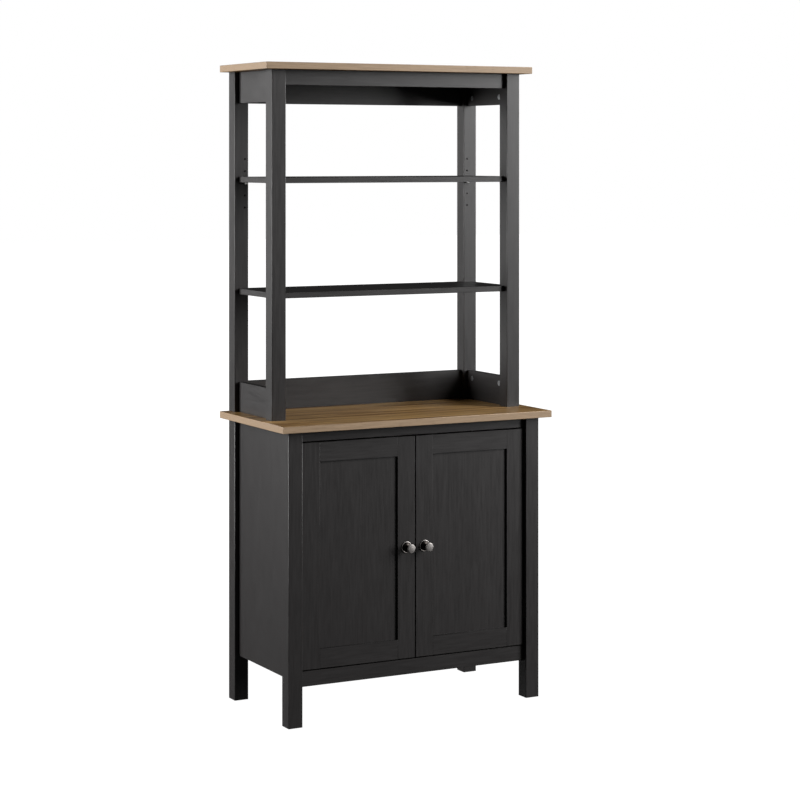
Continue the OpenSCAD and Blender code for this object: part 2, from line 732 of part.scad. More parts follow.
module apron_front() {
    color(black) difference() {
        translate([-inner_x, post_y + setback, crown_z - front_apron_h])
            cube([2 * inner_x, board_t, front_apron_h]);
        cam_bores(concat(front_apron_cams, crown_cams(post_mid_y)));
        dowel_sockets(front_apron_dowels);
    }
}
module hutch_shelf(z) {
    notched(skin_x, inner_x, shelf_y, shelf_end_y, post_in_f, in_r, z, notch_play);
}
module fixed_shelf() {
    color(black) difference() { hutch_shelf(fixed_z); cam_bores(fixed_cams); }
}
module upper_shelf() { color(black) hutch_shelf(upper_z); }
module upper_shelf_pins() {
    color(zinc) for (s = [-1, 1], f = [[post_in_f, 1], [in_r, -1]])
        translate([s * pin_x, f[0] - f[1] * (pin_hole_l - 1), pin_z])
            rotate([-f[1] * 90, 0, 0]) {
                cylinder(d = pin_d - 2 * bore_play, h = pin_hole_l - 1);
                translate([0, 0, pin_hole_l - 1]) cylinder(d = pin_d, h = pin_out);
            }
}
module hutch_top() {
    color(oak) difference() {
        translate([0, 0, crown_z])
            eased_board(top_w, rear_y - hutch_d - front_over, hutch_d + front_over, top_t);
        thread_bores(concat(crown_cams(post_mid_y), crown_cams(back_mid_y)));
        dowel_bores(post_tops);
    }
}

// Fittings
module cam_locks() { color(zinc) for (j = all_cams) at(j) cam(); }
module cam_bolts() { color(zinc) for (j = all_cams) at(j) bolt(); }
module dowel() { rotate([0, 90, 0]) cylinder(d = dowel_d, h = dowel_l); }
module dowels() {
    color(beech) for (j = all_dowels) at(j) translate([-dowel_out, 0, 0]) dowel();
}

leg(-1, front_y);  // leg_front_left
leg(1, front_y);  // leg_front_right
rear_leg(-1);  // leg_rear_left
rear_leg(1);  // leg_rear_right
foot_glides();
side_panel(-1);  // side_panel_left
side_panel(1);  // side_panel_right
bottom_panel();
back_panel();
front_top_rail();
front_bottom_rail();
rear_rail();
inner_shelf();
inner_shelf_pins();
worktop();
hinge_leg_leaves();
hinge_leg_screws();
hinge_pins();
catch_housings();
catch_magnets();
hinge_stile(-1);  // left_door_hinge_stile
lock_stile(-1);  // left_door_lock_stile
door_rail(-1, door_z + door_h - frame_w, true);  // left_door_top_rail
door_rail(-1, door_z, false);  // left_door_bottom_rail
door_panel(-1);  // left_door_panel
knob(-1);  // left_knob
knob_screw(-1);  // left_knob_screw
hinge_leaves(-1);  // left_hinge_leaves
hinge_screws(-1);  // left_hinge_screws
strike_plate(-1);  // left_strike_plate
hinge_stile(1);  // right_door_hinge_stile
lock_stile(1);  // right_door_lock_stile
door_rail(1, door_z + door_h - frame_w, true);  // right_door_top_rail
door_rail(1, door_z, false);  // right_door_bottom_rail
door_panel(1);  // right_door_panel
knob(1);  // right_knob
knob_screw(1);  // right_knob_screw
hinge_leaves(1);  // right_hinge_leaves
hinge_screws(1);  // right_hinge_screws
strike_plate(1);  // right_strike_plate
post(-1, post_y, post_in_f, -1);  // post_front_left
post(1, post_y, post_in_f, -1);  // post_front_right
post(-1, in_r, in_r, 1);  // post_rear_left
post(1, in_r, in_r, 1);  // post_rear_right
low_rail(-1);  // low_rail_left
low_rail(1);  // low_rail_right
low_rail_rear();
fixed_shelf();
upper_shelf();
upper_shelf_pins();
apron_front();
apron_side(-1);  // apron_left
apron_side(1);  // apron_right
apron_rear();
hutch_top();
cam_locks();
cam_bolts();
dowels();
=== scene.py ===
import json
import math
import random

import bmesh
import bpy
from bpy.props import FloatProperty, FloatVectorProperty, IntProperty, PointerProperty
from mathutils import Matrix, Vector

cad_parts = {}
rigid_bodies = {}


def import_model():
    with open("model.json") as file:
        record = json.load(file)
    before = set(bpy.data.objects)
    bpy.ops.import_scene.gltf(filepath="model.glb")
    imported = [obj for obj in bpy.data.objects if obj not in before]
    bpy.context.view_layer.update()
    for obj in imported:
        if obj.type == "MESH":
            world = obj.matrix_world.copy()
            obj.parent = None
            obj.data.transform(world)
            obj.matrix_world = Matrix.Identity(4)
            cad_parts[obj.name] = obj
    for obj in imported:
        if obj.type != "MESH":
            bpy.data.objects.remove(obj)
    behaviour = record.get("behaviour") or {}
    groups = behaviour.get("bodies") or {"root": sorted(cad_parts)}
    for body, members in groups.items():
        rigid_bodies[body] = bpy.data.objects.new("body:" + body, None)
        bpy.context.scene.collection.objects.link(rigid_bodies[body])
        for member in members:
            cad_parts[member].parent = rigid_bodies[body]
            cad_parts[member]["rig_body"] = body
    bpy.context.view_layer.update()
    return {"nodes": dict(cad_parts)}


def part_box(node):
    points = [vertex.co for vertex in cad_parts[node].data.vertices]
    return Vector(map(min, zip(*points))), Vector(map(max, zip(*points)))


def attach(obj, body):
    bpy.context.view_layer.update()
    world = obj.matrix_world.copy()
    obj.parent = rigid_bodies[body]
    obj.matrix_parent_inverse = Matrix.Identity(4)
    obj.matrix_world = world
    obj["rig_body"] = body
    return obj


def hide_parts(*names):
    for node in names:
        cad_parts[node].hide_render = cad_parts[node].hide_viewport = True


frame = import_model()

bl_info = {
    "name": "Bookcase with Doors",
    "version": (1, 0, 0),
    "blender": (4, 5, 0),
    "location": "View3D > Sidebar > Bookcase",
    "description": "Dresses the bookcase's boards, knobs and fittings on its CAD frame",
    "category": "Object",
}

NODES = frame["nodes"]
BODY = {name: piece["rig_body"] for name, piece in NODES.items()}
X, Y, Z = 0, 1, 2

# The boards of each grain direction
UPRIGHT = ["leg_front_left", "leg_front_right", "leg_rear_left", "leg_rear_right",
           "post_front_left", "post_front_right", "post_rear_left", "post_rear_right",
           "side_panel_left", "side_panel_right"]
ACROSS = ["bottom_panel", "front_top_rail", "front_bottom_rail", "rear_rail", "inner_shelf",
          "low_rail_rear", "fixed_shelf", "upper_shelf", "apron_front", "apron_rear"]
FRONT_TO_BACK = ["low_rail_left", "low_rail_right", "apron_left", "apron_right"]
DOORS = ["left", "right"]


# Colours and nodes

SOFT_RANGE = {"interpolation_type": "SMOOTHSTEP"}
NOISE_BAND = {"From Min": 0.3, "From Max": 0.7}      # most of a noise's values lie in it
PORE_BAND = {"From Min": 0.58, "From Max": 0.72}     # only a noise's small high spots reach it
COLOUR_MIX = {"data_type": "RGBA"}                   # colours: sockets 6 and 7 in, 2 out


def linear(code):
    """The linear colour of an sRGB hex code."""
    parts = [int(code[i:i + 2], 16) / 255 for i in (1, 3, 5)]
    return [c / 12.92 if c <= 0.04045 else ((c + 0.055) / 1.055) ** 2.4 for c in parts]


def shade(colour, factor=1.0):
    """RGBA of a colour, made lighter or darker by a factor."""
    return [min(1.0, c * factor) for c in list(colour)[:3]] + [1.0]


def colours():
    """The colours that the user can change."""
    return bpy.context.scene.bookcase_finishes


def add(tree, kind, values=None, stops=None, line=None, **settings):
    """Adds a node with its settings. A value that is a node or a socket is linked, stops are
    the (place, colour) pairs of a colour ramp, and line holds the even samples of a curve."""
    made = tree.nodes.new(kind)
    for key, value in settings.items():
        setattr(made, key, value)
    for key, value in (values or {}).items():
        if isinstance(value, bpy.types.Node):
            value = value.outputs[0]
        if isinstance(value, bpy.types.NodeSocket):
            tree.links.new(value, made.inputs[key])
        else:
            made.inputs[key].default_value = value
    if stops:
        band = made.color_ramp.elements
        while len(band) < len(stops):
            band.new(0.5)
        for element, (place, colour) in zip(band, stops):
            element.position, element.color = place, colour
    if line:
        points = made.mapping.curves[0].points
        while len(points) < len(line):
            points.new(0.5, 0.5)
        for i, value in enumerate(line):
            points[i].location = (i / (len(line) - 1), value)
            points[i].handle_type = "VECTOR"
        made.mapping.update()
    return made


def new_material(name):
    """An empty node material and its tree."""
    made = bpy.data.materials.new(name)
    made.use_nodes = True
    made.node_tree.nodes.clear()
    return made, made.node_tree


def finish_shader(tree, values, height, depth, strength=0.5):
    """Ends a material with a shader of these values over a bump of that depth in metres."""
    bump = add(tree, "ShaderNodeBump", {
        "Height": height, "Strength": strength, "Distance": depth})
    shader = add(tree, "ShaderNodeBsdfPrincipled", {"Normal": bump, **values})
    add(tree, "ShaderNodeOutputMaterial", {"Surface": shader})


def board_grain(tree, axis):
    """Returns a function that gives noise of so many millimetres across and along an axis.
    Each board's own "board" attribute moves it to another stretch of the pattern."""
    place = add(tree, "ShaderNodeTexCoord").outputs["Object"]
    own = add(tree, "ShaderNodeAttribute", attribute_name="board").outputs["Vector"]
    start = add(tree, "ShaderNodeVectorMath", {0: place, 1: own}, operation="ADD")

    def grain(across, along, detail=2.0, rough=0.5, wander=0.0):
        size = [1000 / across] * 3
        size[axis] = 1000 / along
        spot = add(tree, "ShaderNodeMapping", {"Vector": start, "Scale": size})
        return add(tree, "ShaderNodeTexNoise", {
            "Vector": spot, "Scale": 1.0, "Detail": detail, "Roughness": rough,
            "Distortion": wander}).outputs["Fac"]
    return grain


def edge_wear(tree, grain):
    """How much a foil is rubbed: patchily, on the rounded edges, by their own attribute."""
    edge = add(tree, "ShaderNodeAttribute", attribute_name="edge").outputs["Fac"]
    patches = add(tree, "ShaderNodeMapRange", {
        "Value": grain(9, 60), "From Min": 0.35, "From Max": 0.7, "To Min": 0.15}, **SOFT_RANGE)
    return add(tree, "ShaderNodeMath", {0: edge, 1: patches}, operation="MULTIPLY")


# Materials

def black_wood_foil(axis, way):
    """Black ash print foil, pressed on chipboard: satin, with fine pores along the grain. The
    faces that lie up are painted nearly black, as painted shade, and shine less."""
    c = colours()
    made, tree = new_material(f"black_ash_foil_{way}")
    grain = board_grain(tree, axis)
    cloud = grain(45, 500)
    streak = grain(3.2, 75, 4, 0.62, 0.3)
    # Real pores are some 0.3 mm wide and too fine to show, so these are 1.2 mm wide
    pore = grain(1.2, 26, 3, 0.6)
    # The "bore" mark picks out the bore walls, which are painted dark as painted shade
    bore = add(tree, "ShaderNodeAttribute", attribute_name="bore").outputs["Fac"]
    # The "matt" mark picks out the faces that lie up, which get painted shade and less sheen
    matt = add(tree, "ShaderNodeAttribute", attribute_name="matt").outputs["Fac"]
    wear = edge_wear(tree, grain)

    # The print's ground, then what darkens or wears it, each over those before
    clouded = add(tree, "ShaderNodeMapRange", {
        "Value": cloud, **NOISE_BAND, "To Max": 0.20}, **SOFT_RANGE)
    pored = add(tree, "ShaderNodeMapRange", {
        "Value": pore, **PORE_BAND, "To Max": 0.55}, **SOFT_RANGE)
    # Share of the painted shade on the faces that lie up
    painted_top_shade = add(tree, "ShaderNodeMath", {0: matt, 1: 0.6}, operation="MULTIPLY")
    colour = add(tree, "ShaderNodeValToRGB", {0: streak}, stops=[
        (0.28, shade(c.black, 0.8)), (0.5, shade(c.black)), (0.74, shade(c.black, 1.16))])
    for share, tone in ((clouded, shade(c.black, 0.7)), (pored, shade(c.black, 0.3)),
                        # Bore walls are painted near black as painted shade
                        (wear, shade(c.black_worn)), (bore, shade(c.black, 0.25)),
                        (painted_top_shade, shade(c.black, 0.1))):
        colour = add(tree, "ShaderNodeMix", {0: share, 6: colour, 7: tone},
                     **COLOUR_MIX).outputs[2]

    # Bores and rubbed edges are rougher than the satin print, and the faces that lie up shine
    # less
    satin = add(tree, "ShaderNodeMapRange", {
        "Value": streak, **NOISE_BAND, "To Min": 0.30, "To Max": 0.36}, **SOFT_RANGE)
    worn = add(tree, "ShaderNodeMath", {0: wear, 1: 0.55}, operation="MULTIPLY")
    rough = add(tree, "ShaderNodeMath", {0: satin, 1: bore}, operation="MAXIMUM")
    rough = add(tree, "ShaderNodeMath", {0: rough, 1: worn}, operation="MAXIMUM")
    lost = add(tree, "ShaderNodeMath", {0: matt, 1: 0.45}, operation="MULTIPLY")
    sheen = add(tree, "ShaderNodeMath", {0: 0.49, 1: lost}, operation="SUBTRACT")
    sunk = add(tree, "ShaderNodeMath", {0: pore, 1: 0.8}, operation="MULTIPLY")
    height = add(tree, "ShaderNodeMath", {0: streak, 1: sunk}, operation="SUBTRACT")
    finish_shader(tree, {"Base Color": colour, "Roughness": rough, "Specular IOR Level": sheen},
                  height, 0.00006)
    return made


def oak_foil():
    """Oak print foil with a paler edge band: satin, long streaks with short dark pores."""
    c = colours()
    made, tree = new_material("oak_print_foil")
    grain = board_grain(tree, X)
    band = grain(13, 400, 3, 0.55, 0.6)
    streak = grain(5, 200, 4, 0.62, 0.4)
    fine = grain(1.8, 90, 3, 0.6)
    # As on the black foil, the pores are wider than real ones, so that they show
    pore = grain(1.1, 16, 2, 0.6)
    wear = edge_wear(tree, grain)
    normal = add(tree, "ShaderNodeNewGeometry").outputs["Normal"]
    up = add(tree, "ShaderNodeSeparateXYZ", {0: normal}).outputs["Z"]
    lying = add(tree, "ShaderNodeMath", {0: up}, operation="ABSOLUTE")

    colour = add(tree, "ShaderNodeValToRGB", {0: band}, stops=[
        (0.41, shade(c.oak_dark)), (0.50, shade(c.oak, 0.85)), (0.63, shade(c.oak, 1.12))])
    side = add(tree, "ShaderNodeValToRGB", {0: grain(1.8, 70, 3, 0.6)}, stops=[
        (0.3, shade(c.oak_edge, 0.80)), (0.5, shade(c.oak_edge)),
        (0.7, shade(c.oak_edge, 1.16))])
    streaked = add(tree, "ShaderNodeMapRange", {
        "Value": streak, "From Min": 0.50, "From Max": 0.66, "To Max": 0.7}, **SOFT_RANGE)
    # The edge band covers the faces that stand upright
    banded = add(tree, "ShaderNodeMapRange", {
        "Value": lying, "From Min": 0.62, "From Max": 0.8, "To Min": 1.0, "To Max": 0.0},
        **SOFT_RANGE)
    pored = add(tree, "ShaderNodeMapRange", {
        "Value": pore, **PORE_BAND, "To Max": 0.35}, **SOFT_RANGE)
    flecked = add(tree, "ShaderNodeMapRange", {
        "Value": fine, "From Min": 0.45, "From Max": 0.65, "To Max": 0.12}, **SOFT_RANGE)
    rubbed = add(tree, "ShaderNodeMath", {0: wear, 1: 0.5}, operation="MULTIPLY")
    for share, tone in ((streaked, shade(c.oak_dark, 0.9)), (banded, side),
                        (pored, shade(c.oak_dark, 0.8)), (flecked, shade(c.oak_edge)),
                        (rubbed, shade(c.oak_edge, 1.2))):
        colour = add(tree, "ShaderNodeMix", {0: share, 6: colour, 7: tone},
                     **COLOUR_MIX).outputs[2]

    rough = add(tree, "ShaderNodeMapRange", {
        "Value": streak, **NOISE_BAND, "To Min": 0.30, "To Max": 0.40}, **SOFT_RANGE)
    height = add(tree, "ShaderNodeMath", {0: fine, 1: pore}, operation="SUBTRACT")
    finish_shader(tree, {"Base Color": colour, "Roughness": rough, "Specular IOR Level": 0.3},
                  height, 0.00010)
    return made


def hardboard():
    """Thin black printed hardboard: matt, with the faint fleck of pressed fibre."""
    c = colours()
    made, tree = new_material("printed_hardboard")
    grain = board_grain(tree, X)
    fleck = grain(3.0, 5.0, 4, 0.7)
    # The mesh that real hardboard is pressed on leaves marks about this wide
    weave = grain(1.2, 1.2)
    colour = add(tree, "ShaderNodeValToRGB", {0: fleck}, stops=[
        (0.3, shade(c.black, 0.9)), (0.7, shade(c.black, 1.6))])
    rough = add(tree, "ShaderNodeMapRange", {
        "Value": fleck, **NOISE_BAND, "To Min": 0.62, "To Max": 0.78}, **SOFT_RANGE)
    finish_shader(tree, {"Base Color": colour, "Roughness": rough}, weave, 0.00015)
    return made


def metal(name, tint, roughs, across, along, bare=1.0, depth=0.00003):
    """A plated or lacquered metal, stained a little, whose fine marks run upright. across and
    along are the marks' millimetres, and bare is how metallic the coat leaves it."""
    made, tree = new_material(name)
    grain = board_grain(tree, Z)
    # Real die and tool marks are finer than 0.1 mm, so these are drawn far coarser
    mark = grain(across, along, 3, 0.6)
    colour = add(tree, "ShaderNodeValToRGB", {0: grain(6, 8)}, stops=[
        (0.3, shade(tint, 0.84)), (0.7, shade(tint, 1.12))])
    rough = add(tree, "ShaderNodeMapRange", {
        "Value": mark, **NOISE_BAND, "To Min": roughs[0], "To Max": roughs[1]}, **SOFT_RANGE)
    finish_shader(tree, {"Base Color": colour, "Roughness": rough, "Metallic": bare},
                  mark, depth)
    return made


def rubbed_nickel():
    """Dark nickel plate on cast zinc: dark in the recesses, rubbed bright on rims and face."""
    c = colours()
    made, tree = new_material("dark_nickel_plate")
    grain = board_grain(tree, Y)
    # Real polishing marks are finer than 0.1 mm, so these are far wider than real ones
    mark = grain(0.7, 9, 3, 0.6)
    rub = add(tree, "ShaderNodeAttribute", attribute_name="rub").outputs["Fac"]
    patches = add(tree, "ShaderNodeMapRange", {
        "Value": grain(5, 5), **NOISE_BAND, "To Min": 0.82}, **SOFT_RANGE)
    rubbed = add(tree, "ShaderNodeMath", {0: rub, 1: patches}, operation="MULTIPLY")
    colour = add(tree, "ShaderNodeMix", {0: rubbed, 6: shade(c.patina), 7: shade(c.nickel)},
                 **COLOUR_MIX).outputs[2]
    plate = add(tree, "ShaderNodeMapRange", {
        "Value": mark, **NOISE_BAND, "To Min": 0.24, "To Max": 0.30}, **SOFT_RANGE)
    scuffed = add(tree, "ShaderNodeMath", {0: rubbed, 1: 0.16}, operation="MULTIPLY")
    rough = add(tree, "ShaderNodeMath", {0: plate, 1: scuffed}, operation="ADD")
    finish_shader(tree, {"Base Color": colour, "Roughness": rough, "Metallic": 1.0},
                  mark, 0.00004)
    return made


def gritty(name, tint, roughs, marks, axis=Z, tones=(0.8, 1.2), depth=0.00006):
    """A matt material whose colour, roughness and bump all follow its marks, which are so many
    millimetres across and along."""
    made, tree = new_material(name)
    mark = board_grain(tree, axis)(*marks, 3, 0.6)
    colour = add(tree, "ShaderNodeValToRGB", {0: mark}, stops=[
        (0.3, shade(tint, tones[0])), (0.7, shade(tint, tones[1]))])
    rough = add(tree, "ShaderNodeMapRange", {
        "Value": mark, **NOISE_BAND, "To Min": roughs[0], "To Max": roughs[1]}, **SOFT_RANGE)
    finish_shader(tree, {"Base Color": colour, "Roughness": rough}, mark, depth, 0.6)
    return made


MAKERS = {
    "black_ash_foil_upright": lambda: black_wood_foil(Z, "upright"),
    "black_ash_foil_across": lambda: black_wood_foil(X, "across"),
    "black_ash_foil_front_to_back": lambda: black_wood_foil(Y, "front_to_back"),
    "oak_print_foil": oak_foil,
    "printed_hardboard": hardboard,
    "dark_nickel_plate": rubbed_nickel,
    # Stamped steel with a bronze-black lacquer: satin, slightly orange-peeled
    "bronze_lacquered_steel": lambda: metal(
        "bronze_lacquered_steel", colours().bronze, (0.34, 0.46), 1.5, 3, 0.6, 0.00004),
    # Die-cast or turned, zinc-plated: grey, dull bright, with fine die marks
    "zinc_plate": lambda: metal("zinc_plate", colours().zinc, (0.30, 0.44), 0.8, 4),
    # Turned steel in clear zinc, tumbled matt, as shelf pins have: pale, without a mirror
    "matt_zinc_plate": lambda: metal(
        "matt_zinc_plate", colours().bright, (0.5, 0.62), 0.8, 4, 0.3),
    # Moulded nylon of the foot glides: black, dull, with an even grit
    "nylon_glide": lambda: gritty(
        "nylon_glide", linear("#1b1b1b"), (0.5, 0.62), (1.6, 1.6)),
    # Moulded nylon of the catches: brown-grey, a little smoother
    "catch_nylon": lambda: gritty(
        "catch_nylon", linear("#3a3632"), (0.48, 0.6), (1.6, 1.6)),
    # Pressed and fired ferrite: mid grey, dry and fine-grained
    "sintered_ferrite": lambda: gritty(
        "sintered_ferrite", linear("#55565a"), (0.55, 0.67), (0.8, 0.8)),
    # Turned beech, raw: pale, matt, with short darker flecks along the dowel
    "raw_beech": lambda: gritty(
        "raw_beech", colours().beech, (0.6, 0.75), (1.4, 12), X, (0.8, 1.1), 0.0001),
}


def material(name):
    """The named material, made once."""
    return bpy.data.materials.get(name) or MAKERS[name]()


# Shared making

WELD = 1e-6                  # corners nearer than this are one, in metres
END_BAND = 1e-4              # points this near an end of a solid are its rim, in metres
SQUARE = 0.99                # the largest part of a face's normal, where it lies square
FACES_UP = 0.3               # how far the normal of a rounded edge rises, where it faces up
ROUND_END = 12               # a bore's round end has so many corners or more
BORE_AREA = 2.5e-4           # the faces of a bore are smaller than this, in square metres
LONG_FACE = 0.05             # and have no edge as long as this, in metres
SHORT_EDGE = 0.008           # an edge up to this length stays sharp, in metres
CREASE = math.radians(30)    # and so does one that bends less than this


def seat(piece, body, replaced):
    """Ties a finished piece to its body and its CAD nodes."""
    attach(piece, body)
    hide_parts(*replaced)
    return piece


def welded(node):
    """A merged copy of a CAD node's mesh, as a bmesh."""
    bm = bmesh.new()
    bm.from_mesh(NODES[node].data)
    bmesh.ops.remove_doubles(bm, verts=bm.verts, dist=WELD)
    bm.faces.ensure_lookup_table()
    return bm


def slanted(face):
    """Whether a face lies square to no axis."""
    return max(abs(part) for part in face.normal) < SQUARE


def long_face(face):
    """Whether a face has an edge that runs along its board."""
    return max(edge.calc_length() for edge in face.edges) > LONG_FACE


def dressed_board(node, finish):
    """A board from its CAD solid with rounded long edges and its own stretch of grain. Its
    faces are marked for the foil: "edge" where rounded, "bore" in bores, "matt" facing up.
    The foil darkens the bores and the faces that face up as painted shade."""
    bm = welded(node)
    edge_layer = bm.faces.layers.float.new("edge")
    bore_layer = bm.faces.layers.float.new("bore")
    painted_top_shade_layer = bm.faces.layers.float.new("matt")
    bmesh.ops.dissolve_limit(bm, angle_limit=math.radians(1), verts=bm.verts, edges=bm.edges)
    for face in bm.faces:
        # Faces that face up are marked for painted shade
        face[painted_top_shade_layer] = float(face.normal.z > SQUARE)
        # Small round walls are bores, which the foil paints dark as painted shade
        round_wall = slanted(face) or len(face.verts) >= ROUND_END
        if round_wall and face.calc_area() < BORE_AREA and not long_face(face):
            face[bore_layer] = 1.0
    long_edges = [e for e in bm.edges if e.calc_length() > SHORT_EDGE
                  and len(e.link_faces) == 2 and e.calc_face_angle(0) > CREASE]
    rounded = bmesh.ops.bevel(
        bm, geom=long_edges, offset=bpy.context.scene.bookcase_sizes.edge_round, segments=2,
        offset_type="OFFSET", profile=0.5, affect="EDGES", clamp_overlap=False)["faces"]
    narrow = [face for face in bm.faces if slanted(face) and long_face(face)]
    for face in set(rounded) | set(narrow):
        face[edge_layer] = 1.0
        # Rounded edges that rise to face up are marked for painted shade too
        face[painted_top_shade_layer] = float(face.normal.z > FACES_UP)
        face.smooth = True
    mesh = bpy.data.meshes.new(f"{node}_board")
    bm.to_mesh(mesh)
    bm.free()
    pick = random.Random(node)
    own = [pick.uniform(-3, 3) for _ in range(3)]
    mesh.attributes.new("board", "FLOAT_VECTOR", "POINT").data.foreach_set(
        "vector", own * len(mesh.vertices))
    mesh.materials.append(material(finish))
    piece = bpy.data.objects.new(f"{node}_board", mesh)
    bpy.context.collection.objects.link(piece)
    return seat(piece, BODY[node], [node])


def keep_cad(nodes, finish):
    """CAD nodes whose shape is right get their finish."""
    for node in nodes:
        piece = NODES[node]
        if not piece.material_slots:
            piece.data.materials.append(None)
        for slot in piece.material_slots:
            slot.link = "OBJECT"
            slot.material = material(finish)


def islands(node):
    """The points of each loose solid of a CAD node."""
    bm = welded(node)
    left, found = set(bm.verts), []
    while left:
        stack, group = [left.pop()], []
        while stack:
            vert = stack.pop()
            group.append(vert.co.copy())
            for edge in vert.link_edges:
                other = edge.other_vert(vert)
                if other in left:
                    left.remove(other)
                    stack.append(other)
        found.append(group)
    bm.free()
    return found


def span(points):
    """Lowest and highest corner of some points."""
    return (Vector([min(p[i] for p in points) for i in range(3)]),
            Vector([max(p[i] for p in points) for i in range(3)]))


def seats(node, axis_pick, head):
    """(outer end, direction) of each round solid of a node. axis_pick chooses the axis from
    the solid's extents, and head tells the outer end, 1 or -1, from the radii at both ends."""
    found = []
    for points in islands(node):
        low, high = span(points)
        size, middle = high - low, (low + high) / 2
        axis = axis_pick(size)
        radii = {}
        for end, at in ((-1, low[axis]), (1, high[axis])):
            near = [p for p in points if abs(p[axis] - at) < END_BAND]
            radii[end] = [math.hypot(*[p[i] - middle[i] for i in range(3) if i != axis])
                          for p in near]
        sign = head(radii)
        way = Vector([sign if i == axis else 0 for i in range(3)])
        found.append((middle + way * size[axis] / 2, way))
    return sorted(found, key=lambda s: tuple(round(v, 5) for v in s[0]))


def longest(size):
    """The axis along which a solid is longest."""
    return max(range(3), key=lambda i: size[i])


def shortest(size):
    """The axis along which a solid is shortest."""
    return min(range(3), key=lambda i: size[i])


def wide_end(radii):
    """The end with the head, which is wider."""
    return 1 if max(radii[1]) >= max(radii[-1]) else -1


def recessed_end(radii):
    """The end with the tool's recess, which has points near the axis."""
    return 1 if min(radii[1]) <= min(radii[-1]) else -1


def low_end(radii):
    """The end that points down, whatever its radii."""
    return -1


# Turned pieces. Their profiles are (radius, height) points in millimetres, which are scaled
# to the diameter and the length that each piece is given.

RINGS = 65                       # samples of a profile; the curve's table holds them exactly
SEAM = 2e-6                      # gap that closes the seam and the poles, in metres
SOFT_BEND = math.radians(34)     # edges that bend less than this are shaded smooth


def arc(cx, cy, r, a0, a1, n):
    """The n + 1 points of an arc about (cx, cy), from a0 to a1 degrees."""
    return [(cx + r * math.cos(math.radians(a0 + (a1 - a0) * i / n)),
             cy + r * math.sin(math.radians(a0 + (a1 - a0) * i / n))) for i in range(n + 1)]


def turned_over(profile):
    """A profile written from its head, put the other way up."""
    top = max(height for _, height in profile)
    return [(radius, top - height) for radius, height in reversed(profile)]


